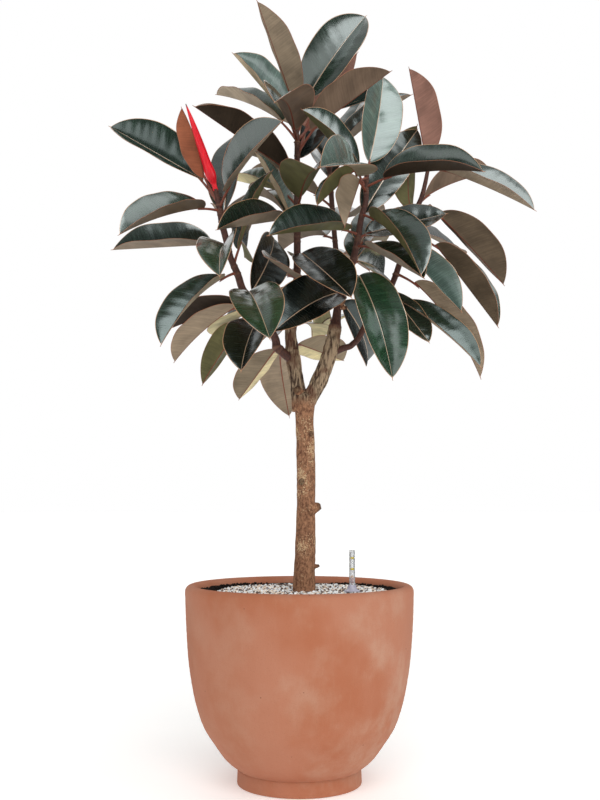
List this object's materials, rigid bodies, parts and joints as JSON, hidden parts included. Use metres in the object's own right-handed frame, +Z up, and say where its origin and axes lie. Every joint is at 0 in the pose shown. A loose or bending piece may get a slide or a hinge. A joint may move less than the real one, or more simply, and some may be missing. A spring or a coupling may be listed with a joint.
{
  "type": "potted rubber plant",
  "caption": "Broad-leaved rubber plant with a forked bark trunk, rooted in a round terracotta bowl pot with gravel top dressing and a water level gauge.",
  "frame": {"origin": "centre of the pot's flat resting face, on the pot's axis, at the floor", "axes": "+X to the viewer's right, +Y away from the viewer, +Z up along the pot's axis"},
  "size_m": [0.9291, 0.6372, 1.6517],
  "materials": {
    "terracotta": "unglazed, matt, with pale lime blotches",
    "potting_soil": "moist crumbs",
    "pumice_gravel": "rough light chips",
    "bark": "rough, with lengthwise furrows on the limbs",
    "foliage": "glossy above, matt brown below, pale margins",
    "growth_sheath": "satin",
    "clear_tube": "clear, with yellow marks",
    "clear_collar": "clear, slightly frosted",
    "red_float": "satin"
  },
  "bodies": {
    "planter": {"pot": "terracotta", "soil": "potting_soil", "gravel": "pumice_gravel", "trunk": "bark", "leader_stem": "foliage", "right_stem": "foliage", "outer_right_stem": "foliage", "left_stem": "foliage", "back_stem": "foliage", "growth_sheath": "growth_sheath", "gauge_tube": "clear_tube", "gauge_collar": "clear_collar"},
    "float": {"gauge_float": "red_float"}
  },
  "joints": [
    {"name": "float_rise", "type": "slide", "parent": "planter", "child": "float", "axis": [0, 0, 1], "range_m": [0, 0.045]}
  ]
}
